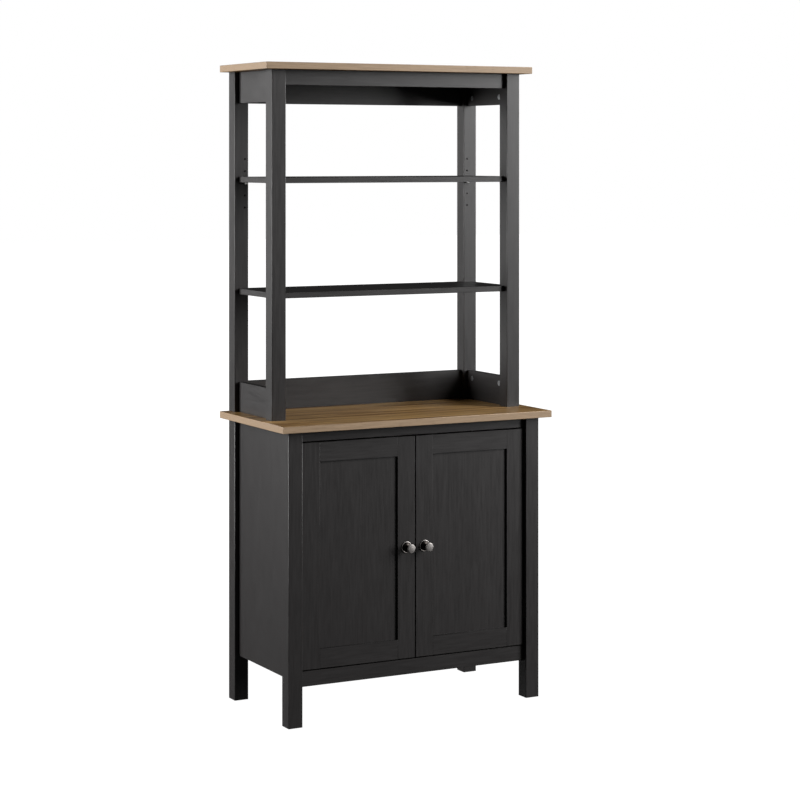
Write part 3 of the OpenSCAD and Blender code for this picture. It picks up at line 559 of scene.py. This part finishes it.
def turned_tree(name, profile, recess=False, rub=None):
    """Node tree that turns a profile about Z, cuts a cross recess in its end and sets a copy
    on each point. The profile runs from the axis at the tail to the axis at the head, and rub
    says how bright each of its points is rubbed."""
    widest = max(p[0] for p in profile)
    low, high = min(p[1] for p in profile), max(p[1] for p in profile)
    points = list(profile) + [profile[-1]] * (RINGS - len(profile))
    tree = bpy.data.node_groups.new(name, "GeometryNodeTree")
    sockets = tree.interface
    sockets.new_socket("Points", in_out="INPUT", socket_type="NodeSocketGeometry")
    for label in ("Diameter", "Length", "Recess Length", "Recess Width", "Recess Depth"):
        size = sockets.new_socket(label, in_out="INPUT", socket_type="NodeSocketFloat")
        size.subtype = "DISTANCE"
    sockets.new_socket("Facets", in_out="INPUT", socket_type="NodeSocketInt")
    sockets.new_socket("Finish", in_out="INPUT", socket_type="NodeSocketMaterial")
    sockets.new_socket("Geometry", in_out="OUTPUT", socket_type="NodeSocketGeometry")
    given = add(tree, "NodeGroupInput").outputs

    # A sheet of one metre square: across it runs the turn, up it the profile
    columns = add(tree, "ShaderNodeMath", {0: given["Facets"], 1: 1.0}, operation="ADD")
    sheet = add(tree, "GeometryNodeMeshGrid", {
        "Size X": 1.0, "Size Y": 1.0, "Vertices X": columns, "Vertices Y": RINGS})
    place = add(tree, "GeometryNodeInputPosition")
    place = add(tree, "ShaderNodeSeparateXYZ", {0: place}).outputs
    share = add(tree, "ShaderNodeMath", {0: place["X"], 1: 0.5}, operation="ADD")
    turn = add(tree, "ShaderNodeMath", {0: share, 1: 2 * math.pi}, operation="MULTIPLY")
    along = add(tree, "ShaderNodeMath", {0: place["Y"], 1: 0.5}, operation="ADD")

    # Where each of its points goes
    half = add(tree, "ShaderNodeMath", {0: given["Diameter"], 1: 0.5}, operation="MULTIPLY")
    reach = add(tree, "ShaderNodeFloatCurve", {"Value": along},
                line=[radius / widest for radius, _ in points])
    rise = add(tree, "ShaderNodeFloatCurve", {"Value": along},
               line=[(height - low) / (high - low) for _, height in points])
    radius = add(tree, "ShaderNodeMath", {0: reach, 1: half}, operation="MULTIPLY")
    cosine = add(tree, "ShaderNodeMath", {0: turn}, operation="COSINE")
    sine = add(tree, "ShaderNodeMath", {0: turn}, operation="SINE")
    below = add(tree, "ShaderNodeMath", {0: rise, 1: 1.0}, operation="SUBTRACT")
    x = add(tree, "ShaderNodeMath", {0: radius, 1: cosine}, operation="MULTIPLY")
    y = add(tree, "ShaderNodeMath", {0: radius, 1: sine}, operation="MULTIPLY")
    z = add(tree, "ShaderNodeMath", {0: below, 1: given["Length"]}, operation="MULTIPLY")
    spot = add(tree, "ShaderNodeCombineXYZ", {0: x, 1: y, 2: z})
    if rub:
        brightness = add(tree, "ShaderNodeFloatCurve", {"Value": along},
                         line=rub + [rub[-1]] * (RINGS - len(rub)))
        sheet = add(tree, "GeometryNodeStoreNamedAttribute", {
            "Geometry": sheet, "Name": "rub", "Value": brightness}, domain="POINT")
    lathe = add(tree, "GeometryNodeSetPosition", {"Geometry": sheet, "Position": spot})
    shape = add(tree, "GeometryNodeMergeByDistance", {"Geometry": lathe, "Distance": SEAM})

    if recess:
        cross = add(tree, "GeometryNodeJoinGeometry")
        for sides in (("Recess Length", "Recess Width"), ("Recess Width", "Recess Length")):
            size = add(tree, "ShaderNodeCombineXYZ", {
                0: given[sides[0]], 1: given[sides[1]], 2: given["Recess Depth"]})
            bar = add(tree, "GeometryNodeMeshCube", {"Size": size})
            tree.links.new(bar.outputs["Mesh"], cross.inputs[0])
        shape = add(tree, "GeometryNodeMeshBoolean", {
            "Mesh 1": shape, "Mesh 2": cross, "Self Intersection": True},
            operation="DIFFERENCE", solver="EXACT")
    bend = add(tree, "GeometryNodeInputMeshEdgeAngle").outputs["Unsigned Angle"]
    soft = add(tree, "ShaderNodeMath", {0: bend, 1: SOFT_BEND}, operation="LESS_THAN")
    for domain, smooth in (("FACE", True), ("EDGE", soft)):
        shape = add(tree, "GeometryNodeSetShadeSmooth", {
            "Geometry": shape, "Shade Smooth": smooth}, domain=domain)

    turned = add(tree, "GeometryNodeInputNamedAttribute", {"Name": "turn"},
                 data_type="FLOAT_VECTOR")
    pose = add(tree, "FunctionNodeEulerToRotation", {0: turned})
    copies = add(tree, "GeometryNodeInstanceOnPoints", {
        "Points": given["Points"], "Instance": shape, "Rotation": pose})
    real = add(tree, "GeometryNodeRealizeInstances", {0: copies})
    done = add(tree, "GeometryNodeSetMaterial", {"Geometry": real, "Material": given["Finish"]})
    add(tree, "NodeGroupOutput", {0: done})
    return tree


def turned_row(name, tree, spots, sizes, finish, body, replaced, spin=0.0):
    """Copies of a turned piece on their spots, made a plain mesh that rides on one body.
    spin turns each about its own axis by a seeded amount, as loosely driven screws are."""
    pick = random.Random(name)
    start = bpy.data.meshes.new(f"{name}_points")
    start.from_pydata([tuple(at) for at, way in spots], [], [])
    turns = []
    for at, way in spots:
        twist = Matrix.Rotation(pick.uniform(-spin, spin), 4, "Z")
        turns += (way.to_track_quat("Z", "Y").to_matrix().to_4x4() @ twist).to_euler()[:]
    start.attributes.new("turn", "FLOAT_VECTOR", "POINT").data.foreach_set("vector", turns)
    piece = bpy.data.objects.new(name, start)
    bpy.context.collection.objects.link(piece)
    rows = piece.modifiers.new("turned pieces", "NODES")
    rows.node_group = tree
    values = dict(sizes, Finish=material(finish))
    for item in tree.interface.items_tree:
        if item.in_out == "INPUT" and item.name in values:
            rows[item.identifier] = values[item.name]
    graph = bpy.context.evaluated_depsgraph_get()
    plain = bpy.data.meshes.new_from_object(
        piece.evaluated_get(graph), preserve_all_data_layers=True, depsgraph=graph)
    if not plain.polygons:
        raise RuntimeError(f"{name} came out empty")
    piece.modifiers.remove(rows)
    piece.data = plain
    plain.name = name
    return seat(piece, body, replaced)


# Studio

WHITE = (1, 1, 1, 1)
FLOOR_REACH = 30                       # metres from the object to each side of the floor
PAPER = "#e9e8e6"
PAPER_GLOW = 1.15                      # strength at which the paper shows as pure white
SHADOW_FADE = (0.8, 2.5)               # metres over which the kept shadow ends
AIM = Vector((0, 0, 0.9))              # near the object's middle, where the lights point
# Each light's name, its power's property, its place, and its oval's width and height. They
# were fitted to the tones of the photo's black and oak faces.
LIGHTS = (("key_light", "key_power", Vector((4.48, -3.70, 3.02)), 3.29, 5.54),
          ("side_light", "side_power", Vector((-4.11, 2.34, 1.67)), 3.45, 4.4))
# The camera, solved from the photo's straight edges: it looks level, its picture is shifted
CAMERA_PLACE = (-2.7478, -5.2561, 1.43625)
CAMERA_TURN = math.radians(-27.957)
CAMERA_LENS, CAMERA_SENSOR, CAMERA_SHIFT = 100.87, 36.0, -0.3051


def paper_floor(context):
    """The white floor, which keeps the shadow near the object and throws little light back."""
    studio = context.scene.bookcase_studio
    far = FLOOR_REACH
    mesh = bpy.data.meshes.new("studio_floor")
    mesh.from_pydata([(-far, -far, 0), (far, -far, 0), (far, far, 0), (-far, far, 0)], [],
                     [(0, 1, 2, 3)])
    floor = bpy.data.objects.new("studio_floor", mesh)
    context.collection.objects.link(floor)
    paper, tree = new_material("studio_paper")
    sight = add(tree, "ShaderNodeLightPath").outputs
    place = add(tree, "ShaderNodeTexCoord").outputs["Object"]
    away = add(tree, "ShaderNodeVectorMath", {0: place}, operation="LENGTH").outputs["Value"]
    shadow = add(tree, "ShaderNodeMapRange", {
        "Value": away, "From Min": SHADOW_FADE[0], "From Max": SHADOW_FADE[1],
        "To Min": studio.shadow, "To Max": 0.0}, **SOFT_RANGE)
    # Seen by the camera: pale paper that keeps the shadow near the object and glows white
    matt = add(tree, "ShaderNodeBsdfDiffuse", {"Color": shade(linear(PAPER))})
    white = add(tree, "ShaderNodeEmission", {"Color": WHITE, "Strength": PAPER_GLOW})
    seen = add(tree, "ShaderNodeMixShader", {0: shadow, 1: white, 2: matt})
    # Met by other rays: a weak bounce, and the pale surround in gloss and metal
    bounce = add(tree, "ShaderNodeBsdfDiffuse", {"Color": [studio.bounce] * 3 + [1.0]})
    mirrored = add(tree, "ShaderNodeEmission", {
        "Color": WHITE, "Strength": studio.mirror_level})
    gloss = add(tree, "ShaderNodeMath", {
        0: sight["Is Glossy Ray"], 1: sight["Is Transmission Ray"]}, operation="MAXIMUM")
    met = add(tree, "ShaderNodeMixShader", {0: gloss, 1: bounce, 2: mirrored})
    both = add(tree, "ShaderNodeMixShader", {0: sight["Is Camera Ray"], 1: met, 2: seen})
    add(tree, "ShaderNodeOutputMaterial", {"Surface": both})
    mesh.materials.append(paper)


def white_surround(context):
    """The world: white to the camera, dim in gloss and metal, and a trace of even light."""
    studio = context.scene.bookcase_studio
    world = bpy.data.worlds.new("studio_surround")
    context.scene.world = world
    world.use_nodes = True
    tree = world.node_tree
    tree.nodes.clear()
    sight = add(tree, "ShaderNodeLightPath").outputs
    gloss = add(tree, "ShaderNodeMath", {
        0: sight["Is Glossy Ray"], 1: sight["Is Transmission Ray"]}, operation="MAXIMUM")
    dim = add(tree, "ShaderNodeMath", {0: gloss, 1: studio.mirror_level},
              operation="MULTIPLY")
    level = add(tree, "ShaderNodeMath", {0: sight["Is Camera Ray"], 1: dim},
                operation="MAXIMUM")
    level = add(tree, "ShaderNodeMath", {0: level, 1: studio.soft_level},
                operation="MAXIMUM")
    back = add(tree, "ShaderNodeBackground", {"Color": WHITE, "Strength": level})
    add(tree, "ShaderNodeOutputWorld", {"Surface": back})


def soft_lights(context):
    """The two large oval lights."""
    for name, power, place, wide, tall in LIGHTS:
        data = bpy.data.lights.new(name, "AREA")
        data.shape, data.size, data.size_y = "ELLIPSE", wide, tall
        data.energy = getattr(context.scene.bookcase_studio, power)
        lamp = bpy.data.objects.new(name, data)
        lamp.location = place
        lamp.rotation_euler = (place - AIM).to_track_quat("Z", "Y").to_euler()
        context.collection.objects.link(lamp)


def photo_camera(context):
    """The camera at the photo's place and angle."""
    data = bpy.data.cameras.new("camera")
    data.sensor_width, data.lens = CAMERA_SENSOR, CAMERA_LENS
    data.shift_y = CAMERA_SHIFT
    data.clip_start, data.clip_end = 0.1, 100
    camera = bpy.data.objects.new("camera", data)
    camera.location = CAMERA_PLACE
    camera.rotation_euler = (math.pi / 2, 0, CAMERA_TURN)
    context.collection.objects.link(camera)
    context.scene.camera = camera
    context.scene.view_settings.view_transform = "Standard"


# Settings

class BookcaseSizes(bpy.types.PropertyGroup):
    """Sizes of the finishing details."""
    edge_round: FloatProperty(
        name="Board edge rounding", description="Radius on the long edges of the boards",
        default=0.0005, min=0.0001, max=0.002, unit="LENGTH")
    knob_facets: IntProperty(
        name="Knob facets", description="Facets round each knob", default=96, min=24, max=192)
    glide_d: FloatProperty(
        name="Glide diameter", description="Diameter of the foot glides", default=0.020,
        min=0.012, max=0.032, unit="LENGTH")
    cam_d: FloatProperty(
        name="Cam diameter", description="Diameter of the cam locks", default=0.0147,
        min=0.010, max=0.0147, unit="LENGTH")
    cam_cross: FloatProperty(
        name="Cam cross", description="Length of the cross recess in a cam lock",
        default=0.0088, min=0.004, max=0.011, unit="LENGTH")
    screw_head_d: FloatProperty(
        name="Hinge screw head", description="Diameter of the hinge screws' heads",
        default=0.0052, min=0.004, max=0.0053, unit="LENGTH")


class BookcaseFinishes(bpy.types.PropertyGroup):
    """Colours of the finishes."""
    black: FloatVectorProperty(
        name="Black foil", description="Ground colour of the black ash foil",
        subtype="COLOR", default=linear("#2c2a2a"), min=0, max=1)
    black_worn: FloatVectorProperty(
        name="Worn foil", description="Black foil where its edges are rubbed",
        subtype="COLOR", default=linear("#312f2f"), min=0, max=1)
    oak: FloatVectorProperty(
        name="Oak face", description="Ground colour of the oak foil on the tops",
        subtype="COLOR", default=linear("#af8a55"), min=0, max=1)
    oak_dark: FloatVectorProperty(
        name="Oak streaks", description="Dark streaks and pores of the oak foil",
        subtype="COLOR", default=linear("#6b4717"), min=0, max=1)
    oak_edge: FloatVectorProperty(
        name="Oak edge band", description="Ground colour of the tops' paler edge band",
        subtype="COLOR", default=linear("#a68e74"), min=0, max=1)
    nickel: FloatVectorProperty(
        name="Rubbed nickel", description="Plating of the knobs where it is rubbed bright",
        subtype="COLOR", default=linear("#a6a29f"), min=0, max=1)
    patina: FloatVectorProperty(
        name="Nickel patina", description="Plating of the knobs in their recesses",
        subtype="COLOR", default=linear("#2c2927"), min=0, max=1)
    bronze: FloatVectorProperty(
        name="Bronze black", description="Lacquer of the hinges",
        subtype="COLOR", default=linear("#2e2a27"), min=0, max=1)
    zinc: FloatVectorProperty(
        name="Zinc", description="Plating of cams, bolts, knob screws and strike plates",
        subtype="COLOR", default=linear("#b9bbbd"), min=0, max=1)
    bright: FloatVectorProperty(
        name="Matt zinc", description="Plating of the shelf pins",
        subtype="COLOR", default=linear("#efeeeb"), min=0, max=1)
    beech: FloatVectorProperty(
        name="Beech", description="Wood of the dowels",
        subtype="COLOR", default=linear("#d8b98a"), min=0, max=1)


class BookcaseStudio(bpy.types.PropertyGroup):
    """Lights and floor of the studio."""
    key_power: FloatProperty(
        name="Key light", description="Tall softbox at the front right", default=570, min=0,
        unit="POWER")
    side_power: FloatProperty(
        name="Side light", description="Tall softbox at the rear left", default=365, min=0,
        unit="POWER")
    soft_level: FloatProperty(
        name="Soft light", description="Even light from all round", default=0.003, min=0, max=1)
    mirror_level: FloatProperty(
        name="Mirrored surround", description="Brightness of the surround in gloss and metal",
        default=0.05, min=0, max=1)
    bounce: FloatProperty(
        name="Floor bounce", description="Share of the light that the floor throws back",
        default=0.05, min=0, max=1)
    shadow: FloatProperty(
        name="Floor shadow", description="Strength of the object's shadow on the floor",
        default=0.12, min=0, max=1)


# Steps

class BOOKCASE_OT_boards(bpy.types.Operator):
    """Dresses the black boards of the base and the hutch"""
    bl_idname = "bookcase.boards"
    bl_label = "Black boards"

    def execute(self, context):
        for nodes, way in ((UPRIGHT, "upright"), (ACROSS, "across"),
                           (FRONT_TO_BACK, "front_to_back")):
            for node in nodes:
                dressed_board(node, f"black_ash_foil_{way}")
        dressed_board("back_panel", "printed_hardboard")
        return {"FINISHED"}


class BOOKCASE_OT_tops(bpy.types.Operator):
    """Dresses the oak worktop and the hutch top"""
    bl_idname = "bookcase.tops"
    bl_label = "Oak tops"

    def execute(self, context):
        for node in ("worktop", "hutch_top"):
            dressed_board(node, "oak_print_foil")
        return {"FINISHED"}


class BOOKCASE_OT_doors(bpy.types.Operator):
    """Dresses the stiles, rails and panels of both doors"""
    bl_idname = "bookcase.doors"
    bl_label = "Doors"

    def execute(self, context):
        for hand in DOORS:
            for part in ("hinge_stile", "lock_stile", "panel"):
                dressed_board(f"{hand}_door_{part}", "black_ash_foil_upright")
            for part in ("top_rail", "bottom_rail"):
                dressed_board(f"{hand}_door_{part}", "black_ash_foil_across")
        return {"FINISHED"}


class BOOKCASE_OT_knobs(bpy.types.Operator):
    """Turns the two knobs and their screws"""
    bl_idname = "bookcase.knobs"
    bl_label = "Knobs"

    def execute(self, context):
        sizes = context.scene.bookcase_sizes
        knob = [(0, 0), (15.2, 0), (15.5, 0.3)] + arc(13.5, 0.6, 2.0, 5, 90, 8)
        knob += [(13.0, 2.5), (12.3, 2.1)] + arc(12.0, 3.1, 0.7, 250, 170, 4)
        knob += arc(8.4, 7.4, 3.4, 250, 180, 8)
        knob += arc(10.2, 17.5, 5.2, 180, 105, 8)
        knob += [(10.6, 24.5)] + arc(10.2, 26.4, 1.7, -55, 95, 12)
        knob += [(9.8, 27.9), (9.4, 28.3)] + arc(0, -50.5, 80, 83.3, 90, 7)
        # The face and its rim, above 25 mm, are rubbed bright, and the foot's rim nearly so
        rub = [1.0 if height > 25 else 0.8 if height < 4 and radius > 13.2 else 0.0
               for radius, height in knob]
        tree = turned_tree("turned_knob", knob, rub=rub)
        screw = [(0, 0), (3.6, 0), (4, 0.5), (4, 2.4), (1.9, 2.4), (1.9, 26), (1.2, 27), (0, 27)]
        back = turned_tree("knob_screw", turned_over(screw), recess=True)
        for hand in DOORS:
            low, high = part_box(f"{hand}_knob")
            middle = (low + high) / 2
            front = Vector((middle.x, low.y, middle.z))
            turned_row(f"{hand}_turned_knob", tree, [(front, Vector((0, -1, 0)))],
                       {"Diameter": high.x - low.x, "Length": high.y - low.y,
                        "Facets": sizes.knob_facets},
                       "dark_nickel_plate", f"{hand}_door", [f"{hand}_knob"])
            low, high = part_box(f"{hand}_knob_screw")
            head = Vector((middle.x, high.y, middle.z))
            turned_row(f"{hand}_turned_knob_screw", back, [(head, Vector((0, 1, 0)))],
                       {"Diameter": high.x - low.x, "Length": high.y - low.y, "Facets": 32,
                        "Recess Length": 0.0048, "Recess Width": 0.001,
                        "Recess Depth": 0.0024},
                       "zinc_plate", f"{hand}_door", [f"{hand}_knob_screw"])
        return {"FINISHED"}


class BOOKCASE_OT_hinges(bpy.types.Operator):
    """Finishes the butt hinges with their screws and pins"""
    bl_idname = "bookcase.hinges"
    bl_label = "Hinges"

    def execute(self, context):
        keep_cad(["hinge_leg_leaves", "left_hinge_leaves", "right_hinge_leaves"],
                 "bronze_lacquered_steel")
        screw = [(0, 0), (0.4, 0), (1.2, 2.4), (1.5, 3.4), (1.5, 14.8), (2.6, 15.8),
                 (2.6, 15.9), (2.5, 16), (0, 16)]
        tree = turned_tree("hinge_screw", screw, recess=True)
        for node, body in (("hinge_leg_screws", "carcass"), ("left_hinge_screws", "left_door"),
                           ("right_hinge_screws", "right_door")):
            turned_row(f"{node}_turned", tree, seats(node, longest, wide_end),
                       {"Diameter": context.scene.bookcase_sizes.screw_head_d, "Length": 0.016,
                        "Facets": 28, "Recess Length": 0.003, "Recess Width": 0.0007,
                        "Recess Depth": 0.0012},
                       "bronze_lacquered_steel", body, [node], 0.7)
        pin = [(0, 0), (0.9, 0), (1.25, 0.4), (1.25, 50), (1.9, 50.0), (2.2, 50.2), (2.2, 50.6),
               (1.9, 50.9), (1.2, 51), (0, 51)]
        tree = turned_tree("hinge_pin", pin)
        turned_row("hinge_pins_turned", tree, seats("hinge_pins", longest, wide_end),
                   {"Diameter": 0.0044, "Length": 0.051, "Facets": 28},
                   "bronze_lacquered_steel", "carcass", ["hinge_pins"])
        return {"FINISHED"}


class BOOKCASE_OT_shelf_pins(bpy.types.Operator):
    """Turns the pins under the loose shelves"""
    bl_idname = "bookcase.shelf_pins"
    bl_label = "Shelf pins"

    def execute(self, context):
        pin = [(0, 0), (1.9, 0), (2.4, 0.6), (2.4, 9.6), (2.5, 10), (2.5, 17.2), (2.2, 17.8),
               (1.7, 18), (0, 18)]
        tree = turned_tree("shelf_pin", pin)
        # In the photo the upper pins stand further out than their CAD solids
        for node, more in (("inner_shelf_pins", 0.0), ("upper_shelf_pins", 0.006)):
            spots = [(at + way * more, way) for at, way in seats(node, longest, wide_end)]
            turned_row(f"{node}_turned", tree, spots,
                       {"Diameter": 0.005, "Length": 0.018 + more, "Facets": 28},
                       "matt_zinc_plate", "carcass", [node])
        return {"FINISHED"}


class BOOKCASE_OT_fittings(bpy.types.Operator):
    """Makes the cam locks and foot glides, and finishes bolts, dowels and catches"""
    bl_idname = "bookcase.fittings"
    bl_label = "Fittings"

    def execute(self, context):
        sizes = context.scene.bookcase_sizes
        cam = [(0, 0), (6.6, 0), (7.1, 0.5), (7.1, 9.8), (7.35, 10.2), (7.35, 11.7), (7.1, 12),
               (5.6, 12), (5.4, 11.7), (0, 11.7)]
        tree = turned_tree("cam_lock", cam, recess=True)
        turned_row("cam_locks_turned", tree, seats("cam_locks", shortest, recessed_end),
                   {"Diameter": sizes.cam_d, "Length": 0.012, "Facets": 40,
                    "Recess Length": sizes.cam_cross, "Recess Width": 0.0016,
                    "Recess Depth": 0.003},
                   "zinc_plate", "carcass", ["cam_locks"], 1.5)
        glide = [(0, 0), (9.2, 0), (9.8, 0.25), (10, 0.8), (10, 2), (0, 2)]
        tree = turned_tree("foot_glide", turned_over(glide))
        turned_row("foot_glides_moulded", tree, seats("foot_glides", shortest, low_end),
                   {"Diameter": sizes.glide_d, "Length": 0.002, "Facets": 48},
                   "nylon_glide", "carcass", ["foot_glides"])
        keep_cad(["cam_bolts"], "zinc_plate")
        keep_cad(["dowels"], "raw_beech")
        keep_cad(["left_strike_plate", "right_strike_plate"], "zinc_plate")
        keep_cad(["catch_housings"], "catch_nylon")
        keep_cad(["catch_magnets"], "sintered_ferrite")
        return {"FINISHED"}


class BOOKCASE_OT_studio(bpy.types.Operator):
    """Sets up the floor, the soft lights, the surround and the camera"""
    bl_idname = "bookcase.studio"
    bl_label = "Studio"

    def execute(self, context):
        paper_floor(context)
        white_surround(context)
        soft_lights(context)
        photo_camera(context)
        return {"FINISHED"}


OPERATORS = (BOOKCASE_OT_boards, BOOKCASE_OT_tops, BOOKCASE_OT_doors, BOOKCASE_OT_knobs,
             BOOKCASE_OT_hinges, BOOKCASE_OT_shelf_pins, BOOKCASE_OT_fittings,
             BOOKCASE_OT_studio)
GROUPS = (("bookcase_sizes", BookcaseSizes), ("bookcase_finishes", BookcaseFinishes),
          ("bookcase_studio", BookcaseStudio))


class BOOKCASE_PT_panel(bpy.types.Panel):
    """Steps and settings of the bookcase"""
    bl_idname = "BOOKCASE_PT_panel"
    bl_label = "Bookcase with Doors"
    bl_space_type = "VIEW_3D"
    bl_region_type = "UI"
    bl_category = "Bookcase"

    def draw(self, context):
        for step in OPERATORS:
            self.layout.operator(step.bl_idname)
        for name, group in GROUPS:
            box = self.layout.box()
            for field in group.__annotations__:
                box.prop(getattr(context.scene, name), field)


def register():
    for _, group in GROUPS:
        bpy.utils.register_class(group)
    for step in OPERATORS:
        bpy.utils.register_class(step)
    bpy.utils.register_class(BOOKCASE_PT_panel)
    for name, group in GROUPS:
        setattr(bpy.types.Scene, name, PointerProperty(type=group))


def unregister():
    for name, _ in GROUPS:
        delattr(bpy.types.Scene, name)
    for made in (BOOKCASE_PT_panel, *reversed(OPERATORS), *[g for _, g in reversed(GROUPS)]):
        bpy.utils.unregister_class(made)


def main():
    register()
    for step in OPERATORS:
        group, name = step.bl_idname.split(".")
        if getattr(getattr(bpy.ops, group), name)() != {"FINISHED"}:
            raise RuntimeError(f"{step.bl_label} didn't finish")


if __name__ == "__main__":
    main()
